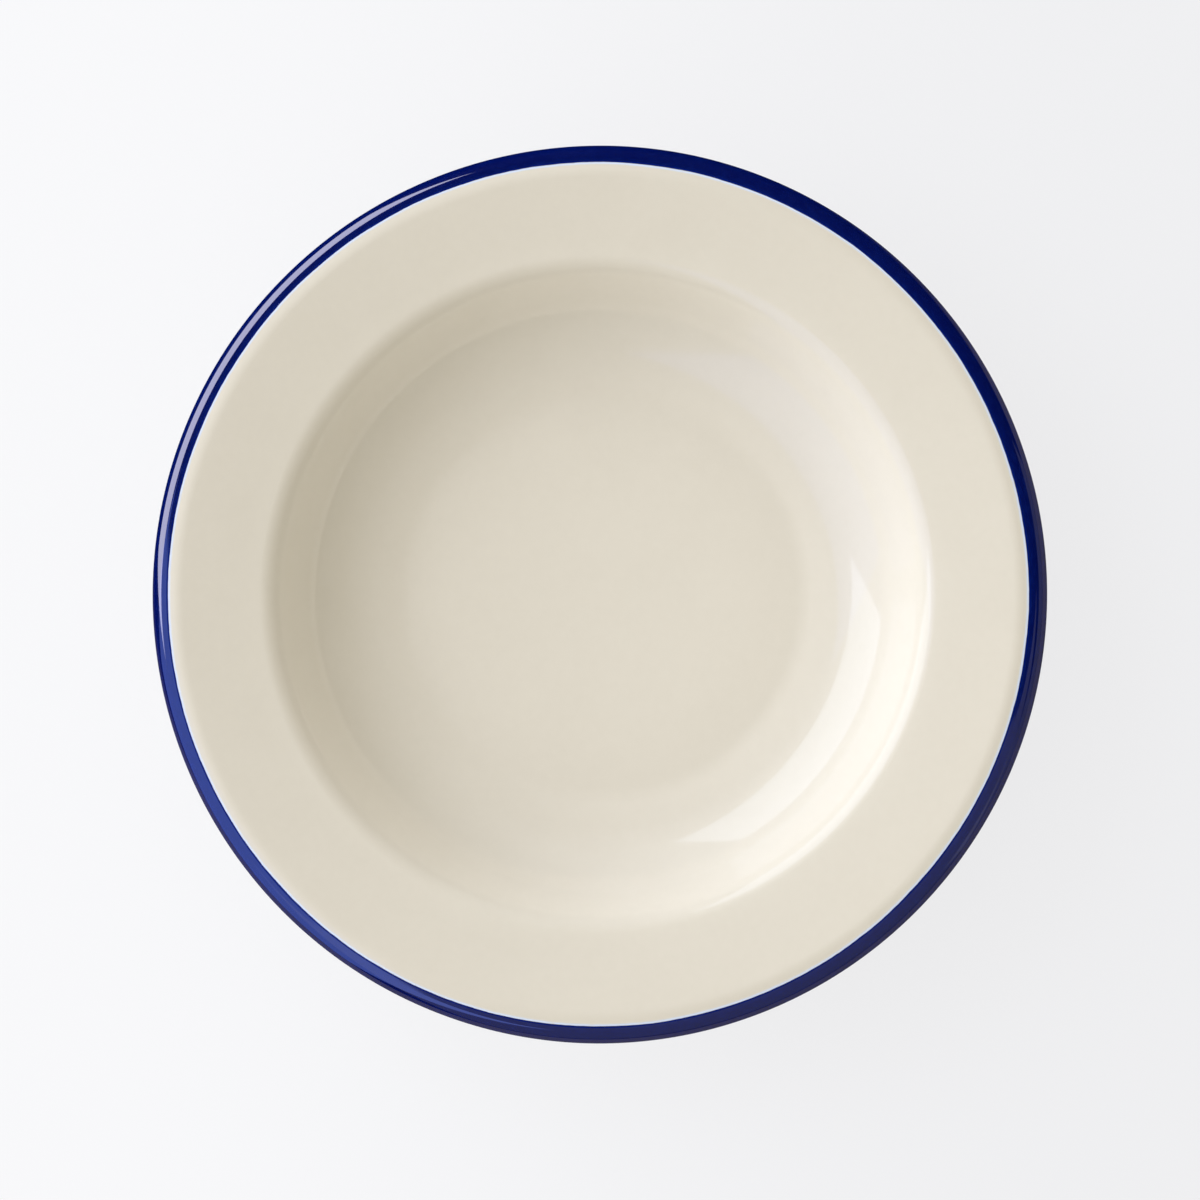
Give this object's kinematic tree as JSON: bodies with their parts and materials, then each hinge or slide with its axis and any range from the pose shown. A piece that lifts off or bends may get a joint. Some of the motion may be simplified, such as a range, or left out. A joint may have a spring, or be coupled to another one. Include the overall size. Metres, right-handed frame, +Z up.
{
  "type": "rimmed soup plate",
  "caption": "Round soup plate of glazed ceramic with a deep well, a broad gently sloping rim, a blue band round the lip and a foot ring underneath.",
  "frame": {"origin": "centre of the foot ring's bearing face, on the plane that the plate stands on", "axes": "+Z up, along the axis of the plate, out of the well; +X and +Y lie in the plane of the table"},
  "size_m": [0.24, 0.24, 0.0345],
  "materials": {
    "bare_clay": "fired, unglazed and slightly rough",
    "cream_glaze": "glossy cream glaze",
    "cobalt_glaze": "glossy cobalt blue glaze"
  },
  "bodies": {
    "root": {"clay_body": "bare_clay", "face_glaze": "cream_glaze", "rim_band": "cobalt_glaze", "back_glaze": "cream_glaze", "foot_well_glaze": "cream_glaze"}
  },
  "joints": []
}
